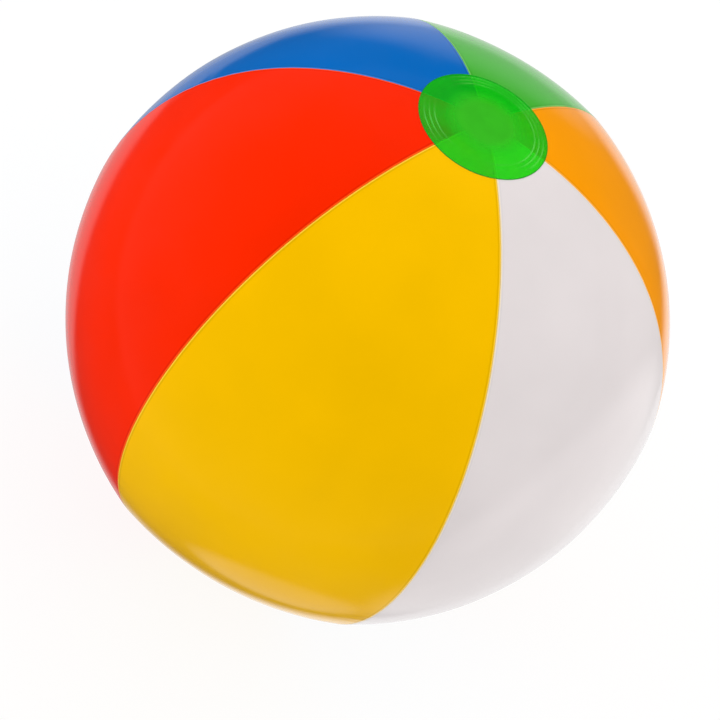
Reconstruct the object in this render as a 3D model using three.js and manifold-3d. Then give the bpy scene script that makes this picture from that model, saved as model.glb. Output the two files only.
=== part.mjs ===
// An inflatable beach ball in millimetres: six vinyl gores joined by inward weld fins, two end discs
// lapped over the gore tips, and a push-in mouth valve in the green gore.
// +Z runs up the ball's polar axis, the origin is the middle of the flat bottom disc that it stands
// on, and the valve points along +Y.
import * as THREE from "three";
import { mergeVertices } from "three/addons/utils/BufferGeometryUtils.js";
import Module from "manifold-3d";

const wasm = await Module();
wasm.setup();

// The inflated skin: a seam is a meridian curve, and each gore bulges a little less than a circle.
const SEAM_RADIUS = 190;
const HALF_HEIGHT = 186.5; // of the meridian curve, if it ran on to the pole
const POLE_FLATTENING = 0.0098;
const BULGE_AT_EQUATOR = 0.893; // a gore's sagitta between its seams over a circle's
const BULGE_AT_POLE = 0.836;
const GORES = ["green", "blue", "red", "yellow", "white", "orange"]; // counterclockwise from +Y
const GORE_ANGLE = (2 * Math.PI) / GORES.length;
const HALF_ANGLE = GORE_ANGLE / 2;
const FILM = 0.25; // thickness of the gore vinyl
const FIN = 5; // weld fin that turns inwards along each seam
const FIN_AT_TIP = 0.8;
const GAP = 0.3; // between welded faces
const CLEARANCE = 0.3; // between pieces that move

// The end discs.
const TIP_RADIUS = 16; // where the gore tips stop, and the flat middle of a disc
const DISC_RADIUS = 41.5;
const DISC_FILM = 0.35;
const RIDGE = 0.4; // height of a weld ridge
const RIDGE_RADII = [32.2, 35.2, 38.2];
const RIDGE_HALF_WIDTH = 0.6;
const DISC_STEPS = 36;
const MIDDLE_FACET_RADIUS = 12; // of the one level triangle in the middle of a disc

// The valve, in distances along its axis from the skin: outwards is positive.
const HOLE_RADIUS = 11.5;
const HOLE_TOOL_LENGTH = 40;
const FLANGE_RADIUS = 17;
const FLANGE_INNER_RADIUS = 10;
const FLANGE_THICKNESS = 0.8;
const FLANGE_EDGE_THICKNESS = 0.48;
const SKIN_CURVE_RADIUS = 196; // mean curvature of the skin round the valve
const LIP_TOP = 1;
const LIP_RADIUS = 8;
const LIP_THICKNESS = 1.6;
const LIP_SLOPE = 0.5;
const LIP_MARGIN = 0.15; // of the lip's seating face round the plug's head
const STEM_RADIUS = 5.2;
const STEM_ROOT_RADIUS = 5.8;
const BORE_RADIUS = 3.3;
const MOUTH_RADIUS = 3.7;
const MOUTH_DEPTH = 0.8;
const STEM_BOTTOM = -17;
const SLEEVE_THICKNESS = 0.6;
const SLEEVE_BOTTOM = -14.4;
const FLAP_RADIUS = 4.5;
const FLAP_THICKNESS = 0.6;
const FLAP_HINGE_Z = 5.6;
const LUG_WIDTH = 3.2; // of the flap, towards its hinge line
const LUG_THICKNESS = 0.36;
const LUG_TO_HINGE = 0.1;
const HEAD_RADIUS = 5.6;
const HEAD_THICKNESS = 1.5;
const HEAD_CHAMFER = 0.4;
const SHANK_RADIUS = 2.95;
const SHANK_TIP_RADIUS = 2.5;
const SHANK_LENGTH = 4;
const SHANK_STRAIGHT = 0.6;
const STRAP_WIDTH = 3;
const STRAP_THICKNESS = 0.7;
const STRAP_BEND_RADIUS = 1.1; // at the middle of its thickness
const STRAP_BEND_Z = 9.2; // the plug hinges about this line
const TAB_WIDTH = 4.4;
const TAB_THICKNESS = 0.9;
const TAB_REACH = 9.6;

const ROUND_STEPS = 24; // sides of a small turned piece
const HOLE_STEPS = 36; // sides of the hole and the flange
const ROWS_AT_VALVE = [-1.2, -0.6, 0, 0.6, 1.2]; // of the gore, in radii of the flange

const COLOURS = {
  green: 0x46ad3a,
  blue: 0x0058b8,
  red: 0xf53010,
  yellow: 0xf2c000,
  white: 0xf2f0f0,
  orange: 0xff9c0a,
};
const goreMaterial = (name) =>
  new THREE.MeshStandardMaterial({ color: COLOURS[name], roughness: 0.22, metalness: 0 });
const discMaterial = new THREE.MeshStandardMaterial({
  color: 0x2fbe2a,
  roughness: 0.18,
  metalness: 0,
  transparent: true,
  opacity: 0.75,
});
const valveMaterial = new THREE.MeshStandardMaterial({
  color: 0xe8eeee,
  roughness: 0.3,
  metalness: 0,
  transparent: true,
  opacity: 0.6,
});

// ---------------------------------------------------------------- the skin

// Height of the skin over the ball's middle, at meridian angle t from the pole.
function skinHeight(t) {
  return HALF_HEIGHT * (Math.cos(t) - POLE_FLATTENING * (Math.cos(3 * t) - Math.cos(t)));
}

// Radius of a gore's cross section over its seam radius, across radians from the gore's middle.
function crossSection(across, t) {
  const bulge = BULGE_AT_POLE + (BULGE_AT_EQUATOR - BULGE_AT_POLE) * Math.sin(t) ** 2;
  const sagitta = bulge * (1 - Math.cos(HALF_ANGLE));
  const halfChord = Math.sin(HALF_ANGLE);
  const arcRadius = (halfChord ** 2 + sagitta ** 2) / (2 * sagitta);
  const arcCentre = Math.cos(HALF_ANGLE) + sagitta - arcRadius;
  const side = arcCentre * Math.sin(across);
  return arcCentre * Math.cos(across) + Math.sqrt(arcRadius ** 2 - side ** 2);
}

// A point of the skin in a gore's own frame, where +Y is the gore's middle.
function skinPoint(t, across) {
  const radius = SEAM_RADIUS * Math.sin(t) * crossSection(across, t);
  return new THREE.Vector3(-radius * Math.sin(across), radius * Math.cos(across), skinHeight(t));
}

function skinNormal(t, across) {
  const step = 1e-4;
  const down = skinPoint(t + step, across).sub(skinPoint(t - step, across));
  const round = skinPoint(t, across + step).sub(skinPoint(t, across - step));
  return down.cross(round).normalize();
}

const raised = (t, across, height) =>
  skinPoint(t, across).addScaledVector(skinNormal(t, across), height);

const angleAtRadius = (radius) => Math.asin(radius / SEAM_RADIUS);
const TIP_ANGLE = angleAtRadius(TIP_RADIUS);
const RIM_ANGLE = angleAtRadius(DISC_RADIUS);
const MIDDLE_HEIGHT = skinHeight(TIP_ANGLE) + GAP + DISC_FILM; // of the ball's middle over the floor
const SKIN_AT_VALVE = skinPoint(Math.PI / 2, 0).y;

// ---------------------------------------------------------------- geometry helpers

// A closed surface from rings of points: rings is a list of equally long loops.
class RingSolid {
  constructor() {
    this.points = [];
    this.faces = [];
  }
  ring(points) {
    const first = this.points.length;
    this.points.push(...points);
    return points.map((_, i) => first + i);
  }
  join(lower, upper) {
    const n = lower.length;
    for (let i = 0; i < n; i++) {
      const next = (i + 1) % n;
      this.faces.push([lower[i], lower[next], upper[next]], [lower[i], upper[next], upper[i]]);
    }
  }
  geometry() {
    const made = new THREE.BufferGeometry().setFromPoints(this.points);
    made.setIndex(this.faces.flat());
    return made;
  }
}

function toSolid(geometry) {
  const bare = geometry.clone();
  bare.deleteAttribute("normal");
  bare.deleteAttribute("uv");
  const merged = mergeVertices(bare, 1e-4);
  const corners = [...merged.index.array];
  const faces = [...Array(corners.length / 3)].map((_, i) => corners.slice(3 * i, 3 * i + 3));
  const mesh = new wasm.Mesh({
    numProp: 3,
    vertProperties: new Float32Array(merged.attributes.position.array),
    triVerts: new Uint32Array(faces.filter((face) => new Set(face).size === 3).flat()),
  });
  return new wasm.Manifold(mesh);
}

function fromSolid(solid) {
  const mesh = solid.getMesh();
  const made = new THREE.BufferGeometry();
  made.setAttribute("position", new THREE.BufferAttribute(mesh.vertProperties, 3));
  made.setIndex(new THREE.BufferAttribute(mesh.triVerts, 1));
  return made;
}

// A profile of [radius, distance along +Y] points, turned about +Y.
function turned(profile, steps = ROUND_STEPS) {
  return new THREE.LatheGeometry(profile.map(([r, y]) => new THREE.Vector2(r, y)), steps);
}

function named(name, geometry, material) {
  const mesh = new THREE.Mesh(geometry, material);
  mesh.name = name;
  return mesh;
}

// ---------------------------------------------------------------- gores

// The closed outline of a gore's section at t: outer face, right fin, inner face, left fin.
function goreSection(t, crossings) {
  const seamRadius = SEAM_RADIUS * Math.sin(t);
  const edge = HALF_ANGLE - Math.asin(GAP / 2 / seamRadius);
  const innerEdge = HALF_ANGLE - Math.asin((GAP / 2 + FILM) / seamRadius);
  const nearTip = THREE.MathUtils.smoothstep(seamRadius, TIP_RADIUS, 2 * DISC_RADIUS);
  const fin = FIN_AT_TIP + (FIN - FIN_AT_TIP) * nearTip;
  const outer = crossings.map((share) => skinPoint(t, -share * edge));
  const inner = crossings.map((share) => raised(t, -share * innerEdge, -FILM));
  const finSide = (side) => {
    const seam = new THREE.Vector3(Math.sin(side * HALF_ANGLE), Math.cos(side * HALF_ANGLE), 0);
    const awayFromSeam = new THREE.Vector3(-seam.y, seam.x, 0).multiplyScalar(side);
    const slope = skinPoint(t + 1e-4, 0).z - skinPoint(t - 1e-4, 0).z;
    const spread = SEAM_RADIUS * (Math.sin(t + 1e-4) - Math.sin(t - 1e-4));
    const outwards = seam.multiplyScalar(-slope).add(new THREE.Vector3(0, 0, spread)).normalize();
    const tip = skinPoint(t, -side * edge).addScaledVector(outwards, -fin);
    return [tip, tip.clone().addScaledVector(awayFromSeam, FILM)];
  };
  const [rightTip, rightInner] = finSide(1);
  const [leftTip, leftInner] = finSide(-1);
  return [...outer, rightTip, rightInner, ...inner.reverse(), leftInner, leftTip];
}

// Closes one end of a gore with the strip between its outer and inner faces.
function closeEnd(solid, ring, count, flipped) {
  const add = (a, b, c) => solid.faces.push(flipped ? [a, c, b] : [a, b, c]);
  const inner = (i) => ring[2 * count + 1 - i];
  for (let i = 0; i + 1 < count; i++) {
    add(ring[i], inner(i + 1), ring[i + 1]);
    add(ring[i], inner(i), inner(i + 1));
  }
  add(ring[count - 1], ring[count + 1], ring[count]);
  add(ring[count - 1], inner(count - 1), ring[count + 1]);
  add(ring[0], ring[2 * count + 3], ring[2 * count + 2]);
  add(ring[0], ring[2 * count + 2], inner(0));
}

const equalSteps = (low, high, steps) =>
  [...Array(steps + 1)].map((_, i) => low + ((high - low) * i) / steps);

// Values from low to high in equal steps, which give way to a closer set round the middle.
function spread(low, high, steps, closer) {
  const middle = (low + high) / 2;
  const reach = 1.3 * Math.max(0, ...closer);
  const far = equalSteps(low, high, steps).filter(
    (value) => closer.length === 0 || Math.abs(value - middle) > reach,
  );
  return [...far, ...closer.map((offset) => middle + offset)].sort((a, b) => a - b);
}

function goreGeometry(hasValve) {
  const around = FLANGE_RADIUS / SEAM_RADIUS;
  const finer = hasValve ? ROWS_AT_VALVE : [];
  const crossings = spread(-1, 1, 6, finer.map((v) => (v * around) / HALF_ANGLE));
  const underDisc = equalSteps(TIP_ANGLE, RIM_ANGLE, 3).slice(0, -1);
  const angles = [
    ...underDisc,
    ...spread(RIM_ANGLE, Math.PI - RIM_ANGLE, 22, finer.map((v) => v * around)),
    ...underDisc.map((t) => Math.PI - t).reverse(),
  ];
  const solid = new RingSolid();
  const rings = angles.map((t) => solid.ring(goreSection(t, crossings)));
  rings.slice(1).forEach((ring, i) => solid.join(rings[i], ring));
  closeEnd(solid, rings[0], crossings.length, false);
  closeEnd(solid, rings[rings.length - 1], crossings.length, true);
  return solid.geometry();
}

function valveHole() {
  const tool = new THREE.CylinderGeometry(HOLE_RADIUS, HOLE_RADIUS, HOLE_TOOL_LENGTH, HOLE_STEPS);
  return tool.translate(0, SKIN_AT_VALVE, 0);
}

function makeGores() {
  const group = new THREE.Group();
  GORES.forEach((colour, i) => {
    const hasValve = i === 0;
    const whole = goreGeometry(hasValve);
    const geometry = hasValve ? fromSolid(toSolid(whole).subtract(toSolid(valveHole()))) : whole;
    const gore = named("gore_" + colour, geometry, goreMaterial(colour));
    gore.rotation.z = i * GORE_ANGLE;
    group.add(gore);
  });
  return group;
}

// ---------------------------------------------------------------- end discs

// A ring of the disc: flat out to the gore tips, and then lying on the gores out to a round rim.
function discRing(radius, height) {
  const share = Math.max(0, (radius - TIP_RADIUS) / (DISC_RADIUS - TIP_RADIUS));
  return [...Array(DISC_STEPS)].map((_, i) => {
    const turn = (i * 2 * Math.PI) / DISC_STEPS;
    const across = THREE.MathUtils.euclideanModulo(turn + HALF_ANGLE, GORE_ANGLE) - HALF_ANGLE;
    const middle = turn - across;
    const bulge = crossSection(across, TIP_ANGLE);
    const reach = radius * (bulge * (1 - share) + share);
    const t = Math.max(TIP_ANGLE, angleAtRadius(reach / bulge));
    const onGore = skinPoint(t, across);
    const normal = radius > TIP_RADIUS ? skinNormal(t, across) : new THREE.Vector3(0, 0, 1);
    onGore.x = -reach * Math.sin(across);
    onGore.y = reach * Math.cos(across);
    return onGore.addScaledVector(normal, height).applyAxisAngle(new THREE.Vector3(0, 0, 1), middle);
  });
}

// Closes a ring with one level triangle and a fan from each of its corners.
function closeLevel(solid, ring, height, flipped) {
  const share = ring.length / 3;
  const corners = solid.ring(
    [0.5, 1.5, 2.5].map((k) => {
      const turn = (k * 2 * Math.PI) / 3;
      const [x, y] = [-Math.sin(turn), Math.cos(turn)].map((v) => v * MIDDLE_FACET_RADIUS);
      return new THREE.Vector3(x, y, height);
    }),
  );
  const add = (a, b, c) => solid.faces.push(flipped ? [a, c, b] : [a, b, c]);
  corners.forEach((corner, k) => {
    add(corners[(k + 2) % 3], ring[k * share], corner);
    for (let i = k * share; i < (k + 1) * share; i++) {
      add(corner, ring[i], ring[(i + 1) % ring.length]);
    }
  });
  add(...corners);
}

function discGeometry() {
  const solid = new RingSolid();
  const top = GAP + DISC_FILM;
  const [, firstThird, secondThird] = equalSteps(TIP_RADIUS, DISC_RADIUS, 3);
  const upper = [[TIP_RADIUS, top], [firstThird, top]];
  RIDGE_RADII.forEach((r) => {
    upper.push([r - RIDGE_HALF_WIDTH, top], [r, top + RIDGE], [r + RIDGE_HALF_WIDTH, top]);
  });
  upper.push([DISC_RADIUS, top]);
  const lower = [[DISC_RADIUS, GAP], [secondThird, GAP], [firstThird, GAP], [TIP_RADIUS, GAP]];
  const rings = [...upper, ...lower].map(([radius, height]) => solid.ring(discRing(radius, height)));
  rings.slice(1).forEach((ring, i) => solid.join(ring, rings[i]));
  closeLevel(solid, rings[0], skinHeight(TIP_ANGLE) + top, false);
  closeLevel(solid, rings[rings.length - 1], skinHeight(TIP_ANGLE) + GAP, true);
  return solid.geometry();
}

function makeDiscs() {
  const group = new THREE.Group();
  const top = named("top_disc", discGeometry(), discMaterial);
  const bottom = named("bottom_disc", discGeometry(), discMaterial);
  bottom.rotation.x = Math.PI;
  group.add(top, bottom);
  return group;
}

// ---------------------------------------------------------------- valve

// How far the skin has dropped away from the valve's middle, at a radius from the valve's axis.
const skinDrop = (r) => -(r ** 2) / (2 * SKIN_CURVE_RADIUS);

function flangeGeometry() {
  const top = (r) => skinDrop(r) - FILM - GAP;
  const middle = (FLANGE_INNER_RADIUS + FLANGE_RADIUS) / 2;
  const inner = FLANGE_INNER_RADIUS;
  return turned([
    [inner, top(inner) - FLANGE_THICKNESS],
    [middle, top(middle) - FLANGE_THICKNESS],
    [FLANGE_RADIUS, top(FLANGE_RADIUS) - FLANGE_EDGE_THICKNESS],
    [FLANGE_RADIUS, top(FLANGE_RADIUS)],
    [middle, top(middle)],
    [inner, top(inner)],
    [inner, top(inner) - FLANGE_THICKNESS],
  ], HOLE_STEPS);
}

// The thin sleeve that rolls inwards from the flange to the stem's root when the valve is pushed in.
function sleeveGeometry() {
  const outer = [[9.7, -1.1], [9.5, -3.2], [8.9, -6], [8, -9], [7.2, -12], [6.8, SLEEVE_BOTTOM]];
  const inner = outer.map(([r, y]) => [r - SLEEVE_THICKNESS, y]);
  return turned([...outer.reverse(), ...inner, outer[0]]);
}

function stemGeometry() {
  return turned([
    [BORE_RADIUS, STEM_BOTTOM],
    [STEM_ROOT_RADIUS, STEM_BOTTOM],
    [STEM_ROOT_RADIUS, SLEEVE_BOTTOM],
    [STEM_RADIUS, LIP_TOP - LIP_THICKNESS],
    [LIP_RADIUS, LIP_TOP - LIP_THICKNESS + LIP_SLOPE],
    [LIP_RADIUS, LIP_TOP],
    [HEAD_RADIUS + LIP_MARGIN, LIP_TOP],
    [MOUTH_RADIUS, LIP_TOP],
    [BORE_RADIUS, LIP_TOP - MOUTH_DEPTH],
    [BORE_RADIUS, STEM_BOTTOM],
  ]);
}

// The non-return flap: a thin disc with a hinge lug on its upper side.
function flapGeometry() {
  const top = STEM_BOTTOM - CLEARANCE;
  const disc = turned([[0, top - FLAP_THICKNESS], [FLAP_RADIUS, top - FLAP_THICKNESS],
    [FLAP_RADIUS, top], [0, top]]);
  const lugLength = FLAP_HINGE_Z - LUG_TO_HINGE - FLAP_RADIUS / 2;
  const lug = new THREE.BoxGeometry(LUG_WIDTH, LUG_THICKNESS, lugLength);
  lug.translate(0, top - FLAP_THICKNESS / 2, FLAP_RADIUS / 2 + lugLength / 2);
  return fromSolid(toSolid(disc).add(toSolid(lug)));
}

// The plug: a head over the lip, a tapered shank in the bore, and a tab to pull it by.
function plugGeometry() {
  const under = LIP_TOP + CLEARANCE;
  const top = under + HEAD_THICKNESS;
  const plug = turned([
    [0, under - SHANK_LENGTH],
    [SHANK_TIP_RADIUS, under - SHANK_LENGTH],
    [SHANK_RADIUS, under - SHANK_STRAIGHT],
    [SHANK_RADIUS, under],
    [HEAD_RADIUS, under],
    [HEAD_RADIUS, top - HEAD_CHAMFER],
    [HEAD_RADIUS - HEAD_CHAMFER, top],
    [0, top],
  ]);
  const tabLength = TAB_REACH - HEAD_RADIUS / 2;
  const tab = new THREE.BoxGeometry(TAB_WIDTH, TAB_THICKNESS, tabLength);
  tab.translate(0, under + HEAD_THICKNESS / 2, -HEAD_RADIUS / 2 - tabLength / 2);
  return fromSolid(toSolid(plug).add(toSolid(tab)));
}

// The strap that ties the plug to the lip: a narrow band bent round the plug's hinge line.
function strapGeometry() {
  const inside = STRAP_BEND_RADIUS - STRAP_THICKNESS / 2;
  const outside = STRAP_BEND_RADIUS + STRAP_THICKNESS / 2;
  const lipEnd = LIP_RADIUS + GAP - STRAP_BEND_Z;
  const headEnd = HEAD_RADIUS + GAP - STRAP_BEND_Z;
  const outline = new THREE.Shape();
  outline.moveTo(lipEnd, -outside);
  outline.absarc(0, 0, outside, -Math.PI / 2, Math.PI / 2, false);
  outline.lineTo(headEnd, outside);
  outline.lineTo(headEnd, inside);
  outline.absarc(0, 0, inside, Math.PI / 2, -Math.PI / 2, true);
  outline.lineTo(lipEnd, -inside);
  outline.closePath();
  const strap = new THREE.ExtrudeGeometry(outline, {
    depth: STRAP_WIDTH,
    bevelEnabled: false,
    curveSegments: 8,
  });
  strap.translate(0, 0, -STRAP_WIDTH / 2);
  strap.applyMatrix4(new THREE.Matrix4().makeBasis(
    new THREE.Vector3(0, 0, 1), new THREE.Vector3(0, 1, 0), new THREE.Vector3(-1, 0, 0)));
  return strap.translate(0, LIP_TOP + CLEARANCE / 2, STRAP_BEND_Z);
}

function makeValve() {
  const valve = new THREE.Group();
  valve.add(
    named("valve_flange", flangeGeometry(), valveMaterial),
    named("valve_sleeve", sleeveGeometry(), valveMaterial),
    named("valve_stem", stemGeometry(), valveMaterial),
    named("check_flap", flapGeometry(), valveMaterial),
    named("valve_plug", plugGeometry(), valveMaterial),
    named("plug_strap", strapGeometry(), valveMaterial),
  );
  valve.position.y = SKIN_AT_VALVE;
  return valve;
}

const ball = new THREE.Group();
ball.add(makeGores(), makeDiscs(), makeValve());
ball.position.z = MIDDLE_HEIGHT;

export default new THREE.Group().add(ball);
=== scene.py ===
"""An inflatable beach ball in six glossy vinyl gores, with see-through discs over its poles and a clear
push-in valve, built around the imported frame."""

import math

import bpy
import numpy as np
from mathutils import Matrix, Vector


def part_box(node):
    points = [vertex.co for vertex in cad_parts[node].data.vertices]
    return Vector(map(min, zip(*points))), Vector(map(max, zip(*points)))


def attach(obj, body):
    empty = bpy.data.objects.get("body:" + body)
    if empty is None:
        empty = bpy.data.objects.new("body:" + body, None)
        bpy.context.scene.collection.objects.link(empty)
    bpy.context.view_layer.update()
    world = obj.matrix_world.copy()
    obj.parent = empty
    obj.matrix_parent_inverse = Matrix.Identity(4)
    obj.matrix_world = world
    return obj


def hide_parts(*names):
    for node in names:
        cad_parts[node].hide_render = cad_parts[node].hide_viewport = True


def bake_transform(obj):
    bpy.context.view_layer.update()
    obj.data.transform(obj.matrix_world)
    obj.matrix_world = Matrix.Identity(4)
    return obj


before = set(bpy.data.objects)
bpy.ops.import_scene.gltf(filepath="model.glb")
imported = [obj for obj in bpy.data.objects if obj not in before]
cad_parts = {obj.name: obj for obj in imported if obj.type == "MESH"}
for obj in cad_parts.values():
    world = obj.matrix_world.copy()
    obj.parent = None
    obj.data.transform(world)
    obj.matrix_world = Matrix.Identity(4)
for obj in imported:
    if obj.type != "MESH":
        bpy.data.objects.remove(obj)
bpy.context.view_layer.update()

MM = 0.001

# The inflated shape, as the frame has it.
GORES = ["green", "blue", "red", "yellow", "white", "orange"]  # counterclockwise from +Y
GORE_ANGLE = 2 * math.pi / len(GORES)
HALF_ANGLE = GORE_ANGLE / 2
TIP_RADIUS = 16 * MM
POLE_FLATTENING = 0.0098
BULGE_AT_EQUATOR = 0.893
BULGE_AT_POLE = 0.836
gore_low, gore_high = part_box("gore_orange")
SEAM_RADIUS = gore_high.x
MIDDLE = (gore_low.z + gore_high.z) / 2
TIP_ANGLE = math.asin(TIP_RADIUS / SEAM_RADIUS)

# The films and their welds.
FILM = 0.25 * MM
SEAM_GAP = 0.02 * MM  # from a fin to the seam's plane
SEAM_ROUNDING = 0.45 * MM
FIN = 5 * MM
FIN_AT_TIP = 0.8 * MM
DISC_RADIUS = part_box("top_disc")[1].x
DISC_FILM = 0.35 * MM
DISC_GAP = 0.06 * MM
RIDGE_RADII = [32.2 * MM, 35.2 * MM, 38.2 * MM]
RIDGE_HALF_WIDTH = 0.95 * MM
RIDGE_HEIGHT = 0.42 * MM

# The studio.
CAMERA_AZIMUTH = math.radians(-2.8)
CAMERA_ELEVATION = math.radians(43)
CAMERA_ROLL = math.radians(31)
CAMERA_DISTANCE = 12 * SEAM_RADIUS
BALL_IN_FRAME = 304 * 2 / 720  # the seams' diameter over the picture's width
BALL_TO_RIGHT = 7 / 720  # of the picture's middle, over its width
BALL_UP = 40 / 720
FLOOR_RADIUS = 16.0  # its edge is the horizon of a low view
FLOOR_SIDES = 120
FLOOR_DROP = 0.2 * MM  # under the ball, so that the two don't share a plane
FLOOR_GREY = 0.1  # dark enough for its own glow to set its brightness
FLOOR_GLOW = 0.9
PANELS = [
    # name, direction from the ball, distance, width, height, radiance
    ("ceiling", (0, 0, 1), 2.1, 4.4, 4.4, 0.98),
    ("wall_left", (-1, -0.1, 0.2), 2.2, 4.4, 2.4, 0.98),
    ("wall_right", (1, 0.0, 0.22), 2.2, 4.4, 2.4, 1.05),
    ("wall_front", (-0.7, -1, 0.2), 2.2, 4.0, 2.4, 0.33),
    ("wall_back", (0, 1, 0.25), 2.2, 4.4, 2.4, 0.92),
    ("low_left", (-0.9, -0.6, -0.02), 1.3, 2.4, 0.25, 0.8),
]
ROOM = 0.05  # radiance of the dim room that the film reflects
CLOTHS = [
    # middle in the camera's axes (right, up, back), reach and soft edge in degrees, radiance
    ((0.0, 0.1, -1.0), 24, 8, 0.55),
    ((-0.3, 0.23, -0.93), 19, 3, 0.42),
    ((0.16, 0.27, -0.95), 16, 6, 0.8),
    ((0.25, 0.6, -0.76), 15, 7, 0.55),
    ((0.17, -0.17, -0.97), 20, 6, 0.95),
    ((0.5, -0.6, -0.62), 30, 5, 0.9),
    ((-0.23, -0.64, -0.73), 11, 3, 0.5),
    ((-0.15, 0.15, 1.0), 102, 2, 0.2),
]


# ---------------------------------------------------------------- camera and light


def aim(obj, back, up):
    """Points obj's -Z axis against back, with up as near +Y as it can be."""
    side = up.cross(back).normalized()
    obj.matrix_world = Matrix.Translation(obj.location) @ Matrix(
        (side, back.cross(side), back)
    ).transposed().to_4x4()


def make_camera():
    data = bpy.data.cameras.new("camera")
    camera = bpy.data.objects.new("camera", data)
    bpy.context.scene.collection.objects.link(camera)
    flat = math.cos(CAMERA_ELEVATION)
    back = Vector(
        (
            math.sin(CAMERA_AZIMUTH) * flat,
            -math.cos(CAMERA_AZIMUTH) * flat,
            math.sin(CAMERA_ELEVATION),
        )
    )
    middle = Vector((0, 0, MIDDLE))
    right = Vector((0, 0, 1)).cross(back).normalized()
    level_up = back.cross(right)
    up = level_up * math.cos(CAMERA_ROLL) - right * math.sin(CAMERA_ROLL)
    side = right * math.cos(CAMERA_ROLL) + level_up * math.sin(CAMERA_ROLL)
    picture_width = 2 * SEAM_RADIUS / BALL_IN_FRAME
    aim_at = middle - (side * BALL_TO_RIGHT + up * BALL_UP) * picture_width
    camera.location = middle + back * CAMERA_DISTANCE
    aim(camera, (camera.location - aim_at).normalized(), up)
    data.sensor_width = 36
    data.lens = data.sensor_width * CAMERA_DISTANCE / picture_width
    data.clip_start = 0.05
    data.clip_end = 60
    bpy.context.scene.camera = camera
    return camera


def panel(name, direction, distance, width, height, radiance):
    """A large rectangular lamp that faces the ball, and that reflections don't show."""
    data = bpy.data.lights.new(name, "AREA")
    data.shape = "RECTANGLE"
    data.size = width
    data.size_y = height
    data.energy = radiance * math.pi * width * height
    lamp = bpy.data.objects.new(name, data)
    bpy.context.scene.collection.objects.link(lamp)
    back = Vector(direction).normalized()
    lamp.location = Vector((0, 0, MIDDLE)) + back * distance
    aim(lamp, back, Vector((0, 1, 0)) if abs(back.z) > 0.9 else Vector((0, 0, 1)))
    lamp.visible_camera = False
    lamp.visible_glossy = False
    lamp.visible_transmission = False


def make_world(camera):
    """A dim room hung with pale cloths, as the glossy film reflects it. Where two overlap, the brighter
    one shows."""
    world = bpy.data.worlds.new("studio")
    bpy.context.scene.world = world
    world.use_nodes = True
    tree = world.node_tree
    direction = tree.nodes.new("ShaderNodeTexCoord").outputs["Generated"]
    axes = camera.matrix_world.to_3x3()
    strength = ROOM
    for middle, reach, edge, radiance in CLOTHS:
        along = tree.nodes.new("ShaderNodeVectorMath")
        along.operation = "DOT_PRODUCT"
        tree.links.new(direction, along.inputs[0])
        along.inputs[1].default_value = (axes @ Vector(middle)).normalized()
        cloth = tree.nodes.new("ShaderNodeMapRange")
        cloth.interpolation_type = "SMOOTHSTEP"
        cloth.inputs["From Min"].default_value = math.cos(math.radians(reach + edge))
        cloth.inputs["From Max"].default_value = math.cos(math.radians(reach - edge))
        cloth.inputs["To Min"].default_value = 0.0
        cloth.inputs["To Max"].default_value = radiance
        tree.links.new(along.outputs["Value"], cloth.inputs["Value"])
        brighter = tree.nodes.new("ShaderNodeMath")
        brighter.operation = "MAXIMUM"
        tree.links.new(cloth.outputs["Result"], brighter.inputs[0])
        if isinstance(strength, float):
            brighter.inputs[1].default_value = strength
        else:
            tree.links.new(strength, brighter.inputs[1])
        strength = brighter.outputs[0]
    background = tree.nodes["Background"]
    background.inputs["Color"].default_value = (1, 1, 1, 1)
    tree.links.new(strength, background.inputs["Strength"])


def make_studio(camera):
    scene = bpy.context.scene
    scene.view_settings.view_transform = "Standard"
    scene.view_settings.look = "None"
    make_world(camera)
    for lamp in PANELS:
        panel(*lamp)


def make_floor():
    """A round pale floor that the glossy film doesn't reflect."""
    mesh = bpy.data.meshes.new("floor")
    turns = [2 * math.pi * i / FLOOR_SIDES for i in range(FLOOR_SIDES)]
    rim = [(FLOOR_RADIUS * math.cos(a), FLOOR_RADIUS * math.sin(a), -FLOOR_DROP) for a in turns]
    mesh.from_pydata(rim, [], [tuple(range(FLOOR_SIDES))])
    floor = bpy.data.objects.new("floor", mesh)
    bpy.context.scene.collection.objects.link(floor)
    material = bpy.data.materials.new("pale_floor")
    material.use_nodes = True
    shader = material.node_tree.nodes["Principled BSDF"]
    shader.inputs["Base Color"].default_value = (FLOOR_GREY, FLOOR_GREY, FLOOR_GREY, 1)
    shader.inputs["Roughness"].default_value = 0.9
    shader.inputs["Specular IOR Level"].default_value = 0.0
    shader.inputs["Emission Color"].default_value = (1, 1, 1, 1)
    shader.inputs["Emission Strength"].default_value = FLOOR_GLOW
    mesh.materials.append(material)
    floor.visible_glossy = False


# ---------------------------------------------------------------- materials


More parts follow.
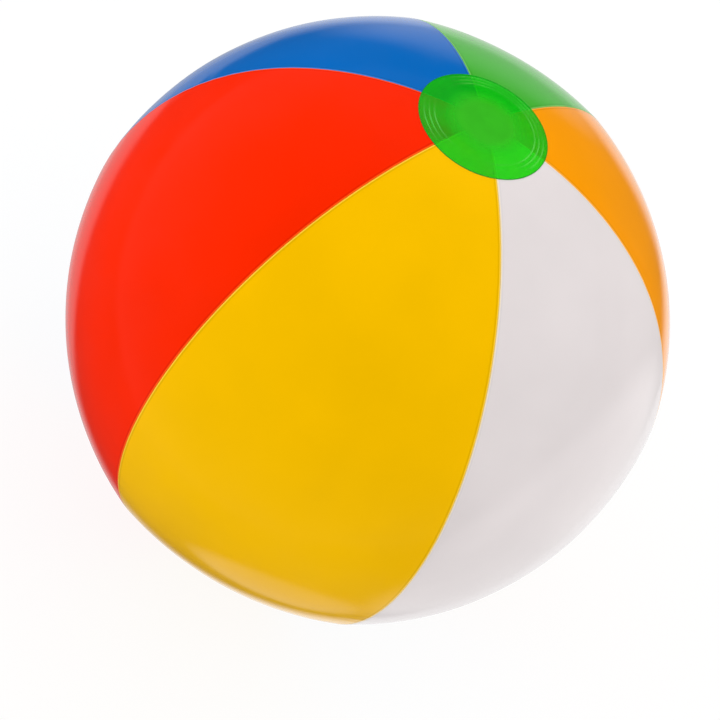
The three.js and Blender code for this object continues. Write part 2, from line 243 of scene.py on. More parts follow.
class Nodes:
    """A short way to write a material's node tree."""

    def __init__(self, name):
        self.material = bpy.data.materials.new(name)
        self.material.use_nodes = True
        self.tree = self.material.node_tree
        self.shader = self.tree.nodes["Principled BSDF"]
        self.output = self.tree.nodes["Material Output"]

    def add(self, kind, settings=None, **inputs):
        node = self.tree.nodes.new(kind)
        for key, value in (settings or {}).items():
            setattr(node, key, value)
        for key, value in inputs.items():
            self.feed(node.inputs[key.replace("_", " ")], value)
        return node

    def feed(self, socket, value):
        if isinstance(value, bpy.types.NodeSocket):
            self.tree.links.new(value, socket)
        else:
            socket.default_value = value

    def math(self, operation, a, b=0.0):
        node = self.tree.nodes.new("ShaderNodeMath")
        node.operation = operation
        self.feed(node.inputs[0], a)
        self.feed(node.inputs[1], b)
        return node.outputs[0]

    def noise(self, scale, detail=2.0, roughness=0.5):
        node = self.add(
            "ShaderNodeTexNoise", Scale=scale, Detail=detail, Roughness=roughness
        )
        self.feed(node.inputs["Vector"], self.place())
        return node.outputs["Fac"]

    def place(self):
        return self.add("ShaderNodeTexCoord").outputs["Object"]

    def span(self, value, low, high, to_low, to_high, smooth=True):
        node = self.add("ShaderNodeMapRange")
        node.interpolation_type = "SMOOTHSTEP" if smooth else "LINEAR"
        for key, number in (
            ("Value", value),
            ("From Min", low),
            ("From Max", high),
            ("To Min", to_low),
            ("To Max", to_high),
        ):
            self.feed(node.inputs[key], number)
        return node.outputs["Result"]

    def mix(self, share, a, b):
        node = self.tree.nodes.new("ShaderNodeMix")
        node.data_type = "RGBA"
        self.feed(node.inputs["Factor"], share)
        self.feed(node.inputs["A"], a)
        self.feed(node.inputs["B"], b)
        return node.outputs["Result"]

    def attribute(self, name):
        return self.add("ShaderNodeAttribute", {"attribute_name": name}).outputs["Fac"]

    def bump(self, height, distance, strength, normal=None):
        node = self.add(
            "ShaderNodeBump", Height=height, Distance=distance, Strength=strength
        )
        if normal is not None:
            self.feed(node.inputs["Normal"], normal)
        return node.outputs["Normal"]


def colour(red, green, blue):
    """A linear colour from its red, green and blue on a screen, each from 0 to 255."""
    shares = (red / 255, green / 255, blue / 255)
    linear = [v / 12.92 if v <= 0.04045 else ((v + 0.055) / 1.055) ** 2.4 for v in shares]
    return (*linear, 1.0)


VINYL = {  # each gore's own colour
    "green": colour(66, 178, 48),
    "blue": colour(0, 104, 190),
    "red": colour(255, 40, 0),
    "yellow": colour(254, 195, 0),
    "white": colour(231, 223, 223),
    "orange": colour(255, 158, 0),
}
PAINTED_SEAM_HIGHLIGHT = {  # painted highlight: a paler line along each seam, for the light its rounded weld catches
    "green": colour(140, 205, 110),
    "blue": colour(70, 140, 215),
    "red": colour(255, 118, 30),
    "yellow": colour(255, 222, 90),
    "white": colour(255, 236, 180),
    "orange": colour(255, 190, 90),
}
# how strongly the painted seam highlight shows
SEAM_HIGHLIGHT_SHOWS = 0.6
# how strongly the painted shade beside each seam shows
SEAM_SHADE_SHOWS = 0.45
PAINTED_SEAM_SHADE = {name: 0.86 if name == "white" else 0.62 for name in VINYL}  # painted shade beside each seam's crease, as a share of the film's brightness


def vinyl_film(name):
    """Glossy pigmented vinyl: clouds in the pigment, a calendered grain, faint haze, and along each
    seam a painted highlight for its rounded weld, inside a band of painted shade beside its crease."""
    nodes = Nodes("vinyl_" + name)
    base = VINYL[name]
    deeper = tuple(0.93 * v for v in base[:3]) + (1.0,)
    clouds = nodes.span(nodes.noise(9, 3), 0.3, 0.7, 0.0, 1.0)
    body = nodes.mix(clouds, deeper, base)
    seam = nodes.attribute("seam")
    # painted shade: a darker band beside each seam, where its crease is shaded
    seam_shade_mask = nodes.math(
        "MULTIPLY",
        nodes.span(seam, 0.9 * MM, 1.3 * MM, 0.0, SEAM_SHADE_SHOWS),
        nodes.span(seam, 1.6 * MM, 2.5 * MM, 1.0, 0.0),
    )
    seam_shade_colour = tuple(PAINTED_SEAM_SHADE[name] * v for v in base[:3]) + (1.0,)
    # painted highlight: a paler line along each seam
    seam_highlight = nodes.span(seam, 0.55 * MM, 1.1 * MM, SEAM_HIGHLIGHT_SHOWS, 0.0)
    film = nodes.mix(seam_highlight, nodes.mix(seam_shade_mask, body, seam_shade_colour), PAINTED_SEAM_HIGHLIGHT[name])
    nodes.feed(nodes.shader.inputs["Base Color"], film)
    haze = nodes.noise(26, 4, 0.6)
    nodes.feed(nodes.shader.inputs["Roughness"], nodes.span(haze, 0.3, 0.75, 0.09, 0.17))
    grain = nodes.noise(900, 2)
    peel = nodes.noise(120, 2)
    surface = nodes.bump(peel, 0.03 * MM, 0.6)
    surface = nodes.bump(grain, 0.006 * MM, 0.5, surface)
    nodes.feed(nodes.shader.inputs["Normal"], surface)
    nodes.shader.inputs["IOR"].default_value = 1.52
    nodes.shader.inputs["Specular Tint"].default_value = base
    return nodes.material


HEAD_ON_MIRROR = 0.04  # the share that vinyl reflects head-on
DISC_ON_TIPS = (0.008, 0.88, 0.022, 1)
# the free film's own cloudier green, with painted light: the glow of the ball's lit inside seen through
# it
DISC_FREE_WITH_PAINTED_GLOW = (0.058, 0.69, 0.02, 1)
# painted shade: the dark line along the disc's rim
DISC_RIM_SHADE = (0.02, 0.3, 0.04, 1)
# painted highlight: the pale glint lines on the ridge tops
DISC_RIDGE_GLINT = (0.42, 0.9, 0.3, 1)
DISC_SEEN_THROUGH = (0.58, 1.0, 0.37, 1)
DISC_GLOSS = (0.5, 1, 0.5, 1)


def mirror_share(nodes, normal):
    """How much a film's surface reflects, the same from inside it as from outside."""
    facing = nodes.add("ShaderNodeLayerWeight", Blend=0.5, Normal=normal).outputs["Facing"]
    grazing = nodes.math("MULTIPLY", nodes.math("POWER", facing, 5.0), 1 - HEAD_ON_MIRROR)
    return nodes.math("ADD", grazing, HEAD_ON_MIRROR)


def disc_film():
    """See-through green vinyl. It tints the gore tips under it, and is cloudier where it is free, where
    its paler green is also a painted glow of the ball's lit inside. Its ridges carry painted highlights
    and its rim painted shade.
    """
    nodes = Nodes("vinyl_disc")
    nodes.tree.nodes.remove(nodes.shader)
    free = nodes.attribute("free")
    # painted shade: a dark line along the rim, where the film is also drawn solid
    edge = nodes.span(nodes.attribute("rim"), 0.2 * MM, 0.6 * MM, 1.0, 0.0)
    # painted highlight: patchy pale lines on the ridge tops, for the glints they catch
    glint_patches = nodes.span(nodes.noise(22, 2), 0.4, 0.65, 0.05, 0.5)
    ridge_glint = nodes.math("MULTIPLY", nodes.attribute("ridge"), glint_patches)
    # the free middle is cloudier, and its paler green is also painted light, the glow of the ball's lit
    # inside
    dye_and_glow = nodes.mix(free, DISC_ON_TIPS, DISC_FREE_WITH_PAINTED_GLOW)
    with_rim_shade = nodes.mix(edge, dye_and_glow, DISC_RIM_SHADE)
    with_ridge_glint = nodes.mix(ridge_glint, with_rim_shade, DISC_RIDGE_GLINT)
    dye_and_painted_light = nodes.add("ShaderNodeBsdfDiffuse", Color=with_ridge_glint)
    clear = nodes.add("ShaderNodeBsdfTransparent", Color=DISC_SEEN_THROUGH)
    cloud = nodes.span(nodes.noise(60, 2), 0.3, 0.7, -0.03, 0.03)
    share = nodes.math("ADD", nodes.span(free, 0, 1, 0.74, 0.44, smooth=False), cloud)
    solid = nodes.math("SUBTRACT", 1.0, nodes.math("MAXIMUM", ridge_glint, edge))
    film = nodes.add("ShaderNodeMixShader")
    nodes.feed(film.inputs[0], nodes.math("MULTIPLY", share, nodes.span(solid, 0, 1, 0.5, 1)))
    nodes.feed(film.inputs[1], dye_and_painted_light.outputs[0])
    nodes.feed(film.inputs[2], clear.outputs[0])
    surface = nodes.bump(nodes.noise(150, 2), 0.03 * MM, 0.6)
    gloss = nodes.add("ShaderNodeBsdfGlossy", Color=DISC_GLOSS)
    nodes.feed(gloss.inputs["Roughness"], nodes.span(nodes.noise(40, 3), 0.3, 0.7, 0.08, 0.16))
    nodes.feed(gloss.inputs["Normal"], surface)
    whole = nodes.add("ShaderNodeMixShader")
    nodes.feed(whole.inputs[0], mirror_share(nodes, surface))
    nodes.feed(whole.inputs[1], film.outputs[0])
    nodes.feed(whole.inputs[2], gloss.outputs[0])
    nodes.feed(nodes.output.inputs["Surface"], whole.outputs[0])
    return nodes.material


def clear_pvc(name, tint, clearness, roughness):
    """Soft clear moulding: a little cloudy, with faint flow marks."""
    nodes = Nodes(name)
    clouds = nodes.noise(180, 3)
    paler = tuple(min(1.0, 1.08 * v) for v in tint[:3]) + (1.0,)
    nodes.feed(nodes.shader.inputs["Base Color"], nodes.mix(clouds, tint, paler))
    rough = nodes.span(nodes.noise(500, 2), 0.3, 0.7, roughness * 0.8, roughness * 1.3)
    nodes.feed(nodes.shader.inputs["Roughness"], rough)
    nodes.shader.inputs["IOR"].default_value = 1.5
    nodes.shader.inputs["Transmission Weight"].default_value = clearness
    nodes.feed(nodes.shader.inputs["Normal"], nodes.bump(nodes.noise(700, 2), 0.02 * MM, 0.5))
    return nodes.material


# ---------------------------------------------------------------- the skin's shape

SMALL_STEP = 1e-4  # radians, to find slopes with


def height_share(t):
    return np.cos(t) - POLE_FLATTENING * (np.cos(3 * t) - np.cos(t))


HALF_HEIGHT = (gore_high.z - gore_low.z) / 2 / height_share(TIP_ANGLE)


def cross_section(across, t):
    """A gore's radius over its seam radius, across radians from the gore's middle."""
    bulge = BULGE_AT_POLE + (BULGE_AT_EQUATOR - BULGE_AT_POLE) * np.sin(t) ** 2
    sagitta = bulge * (1 - math.cos(HALF_ANGLE))
    half_chord = math.sin(HALF_ANGLE)
    arc_radius = (half_chord**2 + sagitta**2) / (2 * sagitta)
    arc_centre = math.cos(HALF_ANGLE) + sagitta - arc_radius
    return arc_centre * np.cos(across) + np.sqrt(
        arc_radius**2 - (arc_centre * np.sin(across)) ** 2
    )


def skin(t, across):
    """Points of the skin round the ball's middle, in the frame of a gore whose middle is at +Y."""
    radius = SEAM_RADIUS * np.sin(t) * cross_section(across, t)
    return np.stack(
        [
            -radius * np.sin(across),
            radius * np.cos(across),
            HALF_HEIGHT * height_share(t) * np.ones_like(radius),
        ],
        axis=-1,
    )


def unit(vectors):
    return vectors / np.linalg.norm(vectors, axis=-1, keepdims=True)


def skin_normal(t, across):
    down = skin(t + SMALL_STEP, across) - skin(t - SMALL_STEP, across)
    along = skin(t, across + SMALL_STEP) - skin(t, across - SMALL_STEP)
    return unit(np.cross(down, along))


def turned_about_z(points, angle):
    cos, sin = math.cos(angle), math.sin(angle)
    x, y, z = points[..., 0], points[..., 1], points[..., 2]
    return np.stack([x * cos - y * sin, x * sin + y * cos, z], axis=-1)


# ---------------------------------------------------------------- mesh helpers


def new_piece(name, points, faces, material, floats=None):
    """A smooth-shaded object from points, faces and named values at the points."""
    mesh = bpy.data.meshes.new(name)
    mesh.from_pydata([tuple(p) for p in points], [], faces)
    mesh.update()
    for key, values in (floats or {}).items():
        mesh.attributes.new(key, "FLOAT", "POINT").data.foreach_set(
            "value", np.asarray(values, np.float32)
        )
    mesh.shade_smooth()
    mesh.materials.append(material)
    piece = bpy.data.objects.new(name, mesh)
    bpy.context.scene.collection.objects.link(piece)
    return piece


FILM_CREASE = 70  # degrees
MOULDED_CREASE = 40


def mark_creases(mesh, degrees):
    """Edges that fold by more than this angle are drawn sharp."""
    mesh.set_sharp_from_angle(angle=math.radians(degrees))


def grid_faces(rows, columns, close_rows=False):
    """Faces of a grid of points whose rows are closed rings. Where the rings go up, they face outwards
    if each ring runs clockwise as seen from above. close_rows joins the last ring to the first."""
    i, j = np.meshgrid(
        np.arange(rows if close_rows else rows - 1), np.arange(columns), indexing="ij"
    )
    down, right = (i + 1) % rows, (j + 1) % columns
    quads = [i * columns + j, down * columns + j, down * columns + right, i * columns + right]
    return np.stack(quads, axis=-1).reshape(-1, 4).tolist()


def end_caps(rings, columns):
    """The faces that close a grid's first and last rings, facing out of it."""
    last = (rings - 1) * columns
    return [list(range(columns)), [last + i for i in range(columns)][::-1]]


def rounded(points, radius, steps=4):
    """The closed outline with each of its corners rounded off."""
    out = []
    points = [np.array(p, float) for p in points]
    for before, here, after in zip(points[-1:] + points[:-1], points, points[1:] + points[:1]):
        reach = [min(radius, 0.45 * np.linalg.norm(p - here)) for p in (before, after)]
        start = here + (before - here) / np.linalg.norm(before - here) * reach[0]
        end = here + (after - here) / np.linalg.norm(after - here) * reach[1]
        for s in np.linspace(0, 1, steps + 1):
            out.append((1 - s) ** 2 * start + 2 * s * (1 - s) * here + s**2 * end)
    return out


# ---------------------------------------------------------------- gores

ROWS = 260
COLUMNS = 27  # from a seam to the gore's middle
CROWDING = 1.6  # how much closer together they are at the seam
rng = np.random.default_rng(7)


def waves(count, shortest, longest):
    """A random smooth function of distance along a line, about 1 high."""
    lengths = rng.uniform(shortest, longest, count)
    phases = rng.uniform(0, 2 * math.pi, count)
    sizes = rng.uniform(0.5, 1.0, count)
    sizes /= sizes.sum()
    return lambda s: sum(
        size * np.sin(2 * math.pi * s / length + phase)
        for length, phase, size in zip(lengths, phases, sizes)
    )


SEAM_PUCKERS = [waves(4, 9 * MM, 17 * MM) for _ in GORES]
SEAM_PATCHES = [waves(3, 60 * MM, 140 * MM) for _ in GORES]
PUCKER_HEIGHT = 0.11 * MM
PUCKER_REACH = 9 * MM
SLACK_HEIGHT = 0.3 * MM
SLACK_STARTS = 25 * MM  # from a seam
VALVE_CALM = 34 * MM  # the film is even round the valve's weld
SLACK = [
    (waves(3, 70 * MM, 160 * MM), waves(3, 60 * MM, 130 * MM)) for _ in GORES
]


def puckers(seam, along):
    """Height of the small folds that a weld leaves in the film, at a distance along a seam."""
    strength = 0.5 + 0.5 * SEAM_PATCHES[seam](along)
    return PUCKER_HEIGHT * strength * SEAM_PUCKERS[seam](along)


def relief(gore, t, side, distance):
    """Height of the film over its ideal shape, at a distance from the seam on one side of a gore."""
    along = SEAM_RADIUS * t
    seam = (gore + (0 if side > 0 else -1)) % len(GORES)
    near = np.exp(-((distance / PUCKER_REACH) ** 1.3))
    down, across = SLACK[gore]
    inside = 1 - np.exp(-((distance / SLACK_STARTS) ** 2))
    radius = SEAM_RADIUS * np.sin(t)
    width = radius * HALF_ANGLE
    slack = SLACK_HEIGHT * inside * down(along) * across(side * (width - distance))
    clear_of_disc = np.clip((radius - DISC_RADIUS) / DISC_RADIUS, 0, 1) ** 2
    if gore == GORES.index("green"):
        from_valve = np.hypot(along - SEAM_RADIUS * math.pi / 2, width - distance)
        slack = slack * (1 - np.exp(-((from_valve / VALVE_CALM) ** 4)))
    return (puckers(seam, along) * near + slack) * clear_of_disc


def gore_half(gore, side, t):
    """Outer and inner points of half a gore, from its middle to the end of its fin, and each one's
    distance from the seam. side is 1 towards the next gore and -1 towards the one before."""
    seam_radius = SEAM_RADIUS * np.sin(t)
    start = SEAM_GAP + SEAM_ROUNDING
    shares = np.linspace(1, 0, COLUMNS)[:, None] ** CROWDING
    distance = start + (seam_radius * HALF_ANGLE - start) * shares
    across = side * (HALF_ANGLE - distance / seam_radius)
    angles = np.broadcast_to(t, across.shape)
    normal = skin_normal(angles, across)
    lift = relief(gore, angles, side, distance)[..., None]
    outer = skin(angles, across) + normal * lift
    inner = outer - normal * FILM
    corner = outer[-1]
    edge = side * HALF_ANGLE
    along_seam = unit(skin(t + SMALL_STEP, edge) - skin(t - SMALL_STEP, edge))
    from_seam = side * np.array([math.cos(HALF_ANGLE), side * math.sin(HALF_ANGLE), 0])
    outwards = unit(np.cross(along_seam, from_seam) * -side)
    to_plane = corner @ from_seam
    foot = corner - from_seam * (to_plane - start)[:, None]
    centre = foot - outwards * SEAM_ROUNDING
    turn = np.radians([22.5, 45, 67.5, 90])[:, None, None]
    arc = -np.sin(turn) * from_seam + np.cos(turn) * outwards
    nearness = np.clip((seam_radius - TIP_RADIUS) / (1.5 * DISC_RADIUS), 0, 1)
    fin = FIN_AT_TIP + (FIN - FIN_AT_TIP) * (nearness**2 * (3 - 2 * nearness))
    depth = (np.array([0.3, 0.65, 1.0])[:, None] * fin)[..., None] * outwards
    outer = np.concatenate(
        [outer, centre + arc * SEAM_ROUNDING, centre - from_seam * SEAM_ROUNDING - depth]
    )
    inside = SEAM_ROUNDING - FILM
    inner = np.concatenate([inner, centre + arc * inside, centre - from_seam * inside - depth])
    on_arc = start - SEAM_ROUNDING * np.sin(turn[:, :, 0]) * np.ones_like(t)
    on_fin = np.zeros((3, len(t)))
    return outer, inner, np.concatenate([distance, on_arc, on_fin])


def gore_mesh(gore):
    """Points, faces and seam distances of one gore's film."""
    t = np.linspace(TIP_ANGLE, math.pi - TIP_ANGLE, ROWS)
    left = gore_half(gore, -1, t)
    right = gore_half(gore, 1, t)
    outer, inner, seam = [
        np.concatenate([a[::-1], b[1:]]).swapaxes(0, 1) for a, b in zip(left, right)
    ]
    columns = outer.shape[1]
    loop = np.concatenate([outer, inner[:, ::-1]], axis=1)
    values = np.concatenate([seam, seam[:, ::-1]], axis=1)
    faces = grid_faces(ROWS, 2 * columns)
    last = (ROWS - 1) * 2 * columns
    for j in range(columns - 1):
        a, b, c, d = j, j + 1, 2 * columns - 2 - j, 2 * columns - 1 - j
        faces.append([a, b, c, d])
        faces.append([last + d, last + c, last + b, last + a])
    points = turned_about_z(loop.reshape(-1, 3), gore * GORE_ANGLE)
    points[:, 2] += MIDDLE
    return points, faces, values.reshape(-1)


def make_gores():
    made = {}
    for gore, name in enumerate(GORES):
        points, faces, seam = gore_mesh(gore)
        piece = new_piece(
            f"{name}_gore", points, faces, vinyl_film(name), {"seam": seam}
        )
        mark_creases(piece.data, FILM_CREASE)
        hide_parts(f"gore_{name}")
        made[name] = piece
    return made


# ---------------------------------------------------------------- pole discs

DISC_STEPS = 216
DISC_MIDDLE = 2.5 * MM  # radius of the fan of faces in the middle
DISC_RING = 0.28 * MM  # from ring to ring over the ridges
DISC_UNDER_RING = 1.2 * MM  # and on the underside
LEVEL_EDGE = 0.15 * MM  # how gently the level middle begins
ROUNDED_EDGE = [  # how far in from the rim, and how far down
    (0.45 * MM, 0.0),
    (0.2 * MM, 0.04 * MM),
    (0.05 * MM, 0.13 * MM),
]
CLOUDY_FILM = 11 * MM  # how far out over the tips the film stays cloudy and keeps its painted glow


def support(radius, turn):
    """Where the skin under a disc is, at a distance from the axis and a turn about it: the angle from
    the pole, and the angle from its gore's middle."""
    across = (turn + HALF_ANGLE) % GORE_ANGLE - HALF_ANGLE
    t = np.arcsin(radius / SEAM_RADIUS)
    for _ in range(3):
        t = np.arcsin(radius / (SEAM_RADIUS * cross_section(across, t)))
    return t, across


def disc_surface(radius, raised, flat_height):
    """One ring of a disc, raised over the skin. It goes no higher than flat_height, if there is one."""
    turn = np.arange(DISC_STEPS) * 2 * math.pi / DISC_STEPS
    t, across = support(np.full(DISC_STEPS, max(radius, 1e-6)), turn)
    on_skin = skin(t, across) + skin_normal(t, across) * raised
    flat = np.hypot(on_skin[:, 0], on_skin[:, 1])
    x, y = -flat * np.sin(turn), flat * np.cos(turn)
    z = on_skin[:, 2]
    if flat_height is not None:
        excess = z - flat_height - raised
        begins = -(excess**2) / (4 * LEVEL_EDGE)
        below = np.where(excess < -2 * LEVEL_EDGE, excess + LEVEL_EDGE, begins)
        z = flat_height + raised + np.where(excess > 0, 0, below)
    return np.stack([x, y, z], axis=-1)


def ridge_relief(radius):
    """Height of the weld ridges at a distance from the disc's middle."""
    height = 0.0
    for ridge in RIDGE_RADII:
        away = abs(radius - ridge) / RIDGE_HALF_WIDTH
        if away < 1:
            height += RIDGE_HEIGHT * math.cos(away * math.pi / 2) ** 2
    return height


def disc_mesh(flat_height):
    """Points, faces and named values of a disc: its top from the middle out, its rim, its underside."""
    rim = DISC_RADIUS
    fine = np.arange(RIDGE_RADII[0] - 1.5 * MM, rim - 0.6 * MM, DISC_RING)
    coarse = np.linspace(DISC_MIDDLE, fine[0], 17)[:-1]
    top = DISC_GAP + DISC_FILM
    rings = [(r, top + ridge_relief(r)) for r in np.concatenate([coarse, fine])]
    rings += [(rim - inset, top + ridge_relief(rim - inset) - drop) for inset, drop in ROUNDED_EDGE]
    rings.append((rim, (DISC_GAP + top) / 2))
    under = np.arange(rim - 0.4 * MM, coarse[1], -DISC_UNDER_RING)
    for r in (rim - 0.05 * MM, *under, coarse[1], coarse[0]):
        rings.append((r, DISC_GAP))
    points = np.concatenate([disc_surface(r, raised, flat_height) for r, raised in rings])
    faces = grid_faces(len(rings), DISC_STEPS)
    count = len(points)
    last = count - DISC_STEPS
    centres = [points[:DISC_STEPS].mean(axis=0), points[last:].mean(axis=0)]
    points = np.concatenate([points, centres])
    for i in range(DISC_STEPS):
        following = (i + 1) % DISC_STEPS
        faces.append([count, i, following])
        faces.append([count + 1, last + following, last + i])
    radii = np.concatenate([np.repeat([r for r, raised in rings], DISC_STEPS), [0.0, 0.0]])
    over_tips = np.clip((radii - TIP_RADIUS) / CLOUDY_FILM, 0, 1)
    ridges = [ridge_relief(r) / RIDGE_HEIGHT for r in radii]
    return points, faces, {"free": 1 - over_tips, "rim": rim - radii, "ridge": ridges}


def make_discs():
    material = disc_film()
    floor_height = MIDDLE - DISC_GAP - DISC_FILM
    for name, flat_height, flip in (("top", None, 1), ("bottom", floor_height, -1)):
        points, faces, floats = disc_mesh(flat_height)
        points = points * np.array([1, flip, flip])
        points[:, 2] += MIDDLE
        piece = new_piece(f"{name}_pole_disc", points, faces, material, floats)
        mark_creases(piece.data, FILM_CREASE)
        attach(piece, "ball")
        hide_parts(f"{name}_disc")


# ---------------------------------------------------------------- valve

SKIN_AT_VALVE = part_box("valve_stem")[1].y - 1.0 * MM  # the lip stands 1 mm over the skin
TURNS = 160

# In mm. Radii are from the valve's axis, and heights are over the skin.
AXIS = 0.01  # radius at which a solid turning starts and ends
HOLE = 11.5
WELD = 17.3  # the weld ring takes the place of the gore's film out to here
WELD_RING_STEP = 0.12
PRESSED_FROM = 12.4  # the weld's pressed band
PRESSED_TO = 17.0
PRESSED_DEPTH = 0.16
WELD_RIDGES = [13.6, 14.9, 16.2]
WELD_RIDGE_HALF_WIDTH = 0.34
WELD_RIDGE_HEIGHT = 0.16
NO_SEAM = 50 * MM  # seam distance given to the weld ring, which has no seam on it
SLEEVE_HALF = 0.27  # half of the sleeve's thickness
SLEEVE_PLEATS = 5
SLEEVE_PLEAT_HEIGHT = 0.12
STRAP_BEND = 1.1  # radius


def skin_out(x, z):
    """The green gore's distance from the plane y = 0, at x and at a height z over the ball's middle."""
    t = np.full_like(x, math.pi / 2)
    across = np.zeros_like(x)
    for _ in range(6):
        t = np.arccos(z / HALF_HEIGHT + POLE_FLATTENING * (np.cos(3 * t) - np.cos(t)))
        radius = SEAM_RADIUS * np.sin(t) * cross_section(across, t)
        across = np.arcsin(-x / radius)
    return radius * np.cos(across)


def valve_point(height):
    """A point on the valve's axis."""
    return (0, SKIN_AT_VALVE + height * MM, MIDDLE)


def turned(name, profile, material, draped=False, hollow=True):
    """A profile of (radius, height) in mm turned about the valve's axis. It runs out, up and back.
    Heights are over the skin at the axis, or over the skin itself if draped. One that isn't hollow
    starts and ends at AXIS."""
    turns = np.arange(TURNS) * 2 * math.pi / TURNS
    rings = []
    for r, height in profile:
        x, z = -r * MM * np.sin(turns), r * MM * np.cos(turns)
        y = skin_out(x, z) if draped else np.full(TURNS, SKIN_AT_VALVE)
        rings.append(np.stack([x, y + height * MM, z + MIDDLE], axis=-1))
    faces = grid_faces(len(rings), TURNS, close_rows=hollow)
    if not hollow:
        faces += end_caps(len(rings), TURNS)
    return new_piece(name, np.concatenate(rings), faces, material)


def slab(name, outline, low, high, bevel, material):
    """A flat moulding with rounded edges. Its outline is (x, z) in mm round the valve's axis, and runs
    counterclockwise as seen from inside the ball. low and high are its heights over the skin."""
    outline = np.array(outline, float)
    before, after = np.roll(outline, 1, axis=0), np.roll(outline, -1, axis=0)
    along = unit(after - before)
    inwards = np.stack([-along[:, 1], along[:, 0]], axis=-1)
    rings = []
    for share in np.linspace(0, 1, 4):
        turn = share * math.pi / 2
        flat = outline + inwards * bevel * (1 - math.sin(turn))
        rings.append((flat, low + bevel * (1 - math.cos(turn))))
    rings += [(flat, high + low - height) for flat, height in rings[::-1]]
    count = len(outline)
    points = [
        np.stack([flat[:, 0], np.full(count, height), flat[:, 1]], axis=-1) * MM + valve_point(0)
        for flat, height in rings
    ]
    faces = grid_faces(len(rings), count)
    faces += end_caps(len(rings), count)
    return new_piece(name, np.concatenate(points), faces, material)


def arc(centre, radius, start, end, steps):
    """Points (x, z) on an arc between two angles in degrees, counted from +x towards +z."""
    angles = np.radians(np.linspace(start, end, steps))
    return [(centre[0] + radius * math.cos(a), centre[1] + radius * math.sin(a)) for a in angles]


def joined(piece, *others):
    """The others become part of piece, which stays one closed surface."""
    for other in others:
        cut(piece, other, "UNION")
    return piece


def cut(piece, tool, operation="DIFFERENCE"):
    """Cuts piece by the tool's solid, or adds it, and removes the tool."""
    change = piece.modifiers.new("cut", "BOOLEAN")
    change.operation = operation
    change.object = tool
    change.solver = "EXACT"
    shapes = bpy.context.evaluated_depsgraph_get()
    whole = bpy.data.meshes.new_from_object(piece.evaluated_get(shapes))
    piece.modifiers.clear()
    piece.data = whole
    bpy.data.objects.remove(tool)


def make_weld(gore):
    """The hole in the green gore and the ring of its film that is welded to the flange."""
    film = gore.data.materials[0]
    tool = turned("hole", [(AXIS, -40), (WELD, -40), (WELD, 40), (AXIS, 40)], film, hollow=False)
    cut(gore, tool)
    mark_creases(gore.data, FILM_CREASE)
    top = [(HOLE, -0.2), (HOLE + 0.04, -0.08), (HOLE + 0.16, -0.01)]
    for r in np.arange(HOLE + 0.35, WELD - 0.05, WELD_RING_STEP):
        starting = min(1, max(0, (r - PRESSED_FROM) / 0.4))
        ending = min(1, max(0, (PRESSED_TO - r) / 0.3))
        ridge = sum(max(0, 1 - abs(r - at) / WELD_RIDGE_HALF_WIDTH) for at in WELD_RIDGES)
        top.append((r, WELD_RIDGE_HEIGHT * ridge - PRESSED_DEPTH * starting * ending))
    top += [(WELD - 0.02, -0.01), (WELD + 0.25, -0.06)]
    under = [(HOLE + 0.05, -0.25), (WELD + 0.25, -0.3)]
    ring = turned("valve_weld", under + top[::-1], film, draped=True)
    ring.data.attributes.new("seam", "FLOAT", "POINT").data.foreach_set(
        "value", np.full(len(ring.data.vertices), NO_SEAM, np.float32)
    )
    return ring


def make_flange(material):
    outline = [(9.9, -1.3), (17.0, -1.1), (17.0, -0.32), (11.6, -0.3), (11.3, -0.12), (9.9, -0.2)]
    return turned("flange", rounded(outline, 0.3), material, draped=True)


def make_sleeve(material):
    """The soft pleated wall between the flange and the stem."""
    path = [(10.1, -0.9), (9.75, -2.1), (9.45, -3.6), (9.0, -5.6), (8.3, -8), (7.6, -10.4)]
    path += [(7.0, -12.6), (6.6, -14.0), (6.0, -14.7), (5.5, -14.8)]
    lengths = np.concatenate([[0], np.cumsum(np.linalg.norm(np.diff(path, axis=0), axis=1))])
    at = np.linspace(0, lengths[-1], 56)
    line = np.stack([np.interp(at, lengths, [p[i] for p in path]) for i in (0, 1)], axis=-1)
    for _ in range(3):
        line[1:-1] = (line[:-2] + 2 * line[1:-1] + line[2:]) / 4
    along = unit(np.gradient(line, axis=0))
    outwards = np.stack([-along[:, 1], along[:, 0]], axis=-1)
    share = at / at[-1]
    pleats = np.sin(share * SLEEVE_PLEATS * 2 * math.pi) * np.sin(share * math.pi)
    line = line + outwards * (SLEEVE_PLEAT_HEIGHT * pleats)[:, None]
    outer, inner = line + outwards * SLEEVE_HALF, line - outwards * SLEEVE_HALF
    return turned("sleeve", np.concatenate([outer[::-1], inner]).tolist(), material)


def make_stem(material):
    """The tube with its lip, and the lug that the flap hangs from."""
    outline = [(3.3, -17.0), (5.8, -17.0), (5.8, -13.9), (5.25, -13.2), (5.2, -1.0)]
    outline += [(6.0, -0.75), (8.0, -0.2), (8.0, 0.55), (7.5, 1.0), (4.6, 0.9), (3.8, 0.75)]
    outline += [(3.3, 0.2)]
    stem = turned("stem", rounded(outline, 0.28), material)
    corners = [(-2.0, 3.6), (2.0, 3.6), (2.0, 6.3), (-2.0, 6.3)]
    return joined(stem, slab("lug", corners, -17.0, -15.6, 0.2, material))


def make_flap(material):
    outline = arc((0, 0), 4.5, 110.8, 429.2, 60) + [(1.6, 5.4), (-1.6, 5.4)]
    flap = slab("flap", outline, -17.9, -17.3, 0.2, material)
    profile = [(AXIS, -18.3), (1.0, -18.3), (1.5, -18.1), (1.7, -17.6), (AXIS, -17.6)]
    return joined(flap, turned("boss", profile, material, hollow=False))


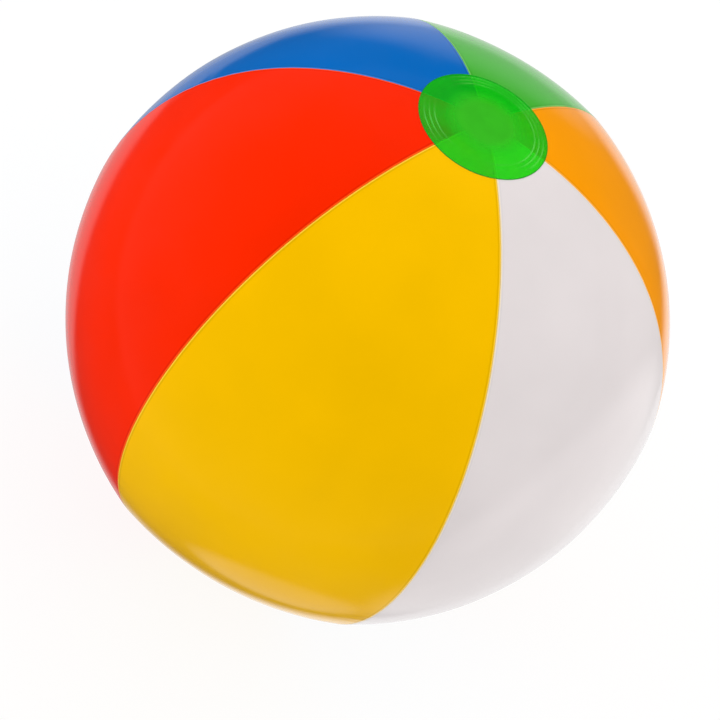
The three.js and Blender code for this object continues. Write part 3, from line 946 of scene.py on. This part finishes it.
def make_plug(material):
    """The plug with its barb, and the finger tab with three ribs."""
    outline = [(AXIS, -2.7), (2.2, -2.7), (2.55, -2.4), (2.95, -1.7), (2.75, -0.9), (2.95, 1.3)]
    outline += [(5.3, 1.3), (5.6, 1.6), (5.6, 2.4), (5.2, 2.8), (4.4, 2.8), (4.1, 2.55)]
    outline += [(1.9, 2.55), (1.6, 2.8), (AXIS, 2.8)]
    plug = turned("plug", outline, material, hollow=False)
    sides = [(-2.2, -4.6), (-2.2, -7.6)] + arc((0, -7.5), 2.2, 185, 355, 14)
    sides += [(2.2, -7.6), (2.2, -4.6)]
    parts = [slab("tab", sides, 1.6, 2.5, 0.25, material)]
    for low in (-8.6, -7.7, -6.8):
        high = low + 0.4
        corners = [(-1.5, low), (1.5, low), (1.5, high), (-1.5, high)]
        parts.append(slab("rib", corners, 2.3, 2.68, 0.12, material))
    return joined(plug, *parts)


def make_strap(material):
    """The strap that ties the plug to the lip, bent over on itself."""
    bend = [
        (9.2 + STRAP_BEND * math.sin(a), 1.15 - STRAP_BEND * math.cos(a))
        for a in np.linspace(0, math.pi, 15)
    ]
    lower = [(z, 0.05) for z in np.linspace(7.0, 8.9, 6)]
    upper = [(z, 2.25) for z in np.linspace(8.9, 4.9, 10)]
    line = np.array(lower + bend + upper)
    along = unit(np.gradient(line, axis=0))
    outwards = np.stack([along[:, 1], -along[:, 0]], axis=-1)
    half_section = [(1.5, 0.15), (1.35, 0.32), (-1.35, 0.32), (-1.5, 0.15)]
    section = half_section + [(-x, -d) for x, d in half_section]
    rings = []
    for (z, y), (out_z, out_y) in zip(line, outwards):
        rings.append([(x, y + d * out_y, z + d * out_z) for x, d in section])
    points = np.array(rings).reshape(-1, 3) * MM + valve_point(0)
    faces = grid_faces(len(rings), len(section)) + end_caps(len(rings), len(section))
    return new_piece("strap", points, faces, material)


def make_valve(gore):
    soft = clear_pvc("soft_clear_pvc", (0.92, 0.97, 0.95, 1), 0.66, 0.16)
    firm = clear_pvc("firm_clear_pvc", (0.93, 0.97, 0.98, 1), 0.5, 0.2)
    ring, flange, sleeve = make_weld(gore), make_flange(firm), make_sleeve(soft)
    stem, flap, plug, strap = make_stem(firm), make_flap(soft), make_plug(firm), make_strap(soft)
    for piece, body, node in (
        (ring, "ball", "gore_green"),
        (flange, "ball", "valve_flange"),
        (stem, "valve", "valve_stem"),
        (flap, "flap", "check_flap"),
        (plug, "plug", "valve_plug"),
    ):
        mark_creases(piece.data, MOULDED_CREASE)
        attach(piece, body)
        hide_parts(node)
    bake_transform(sleeve)
    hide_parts("valve_sleeve")
    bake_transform(strap)
    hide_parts("plug_strap")


# ---------------------------------------------------------------- the whole scene

make_studio(make_camera())
make_floor()
gores = make_gores()
make_discs()
make_valve(gores["green"])
for gore_piece in gores.values():
    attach(gore_piece, "ball")
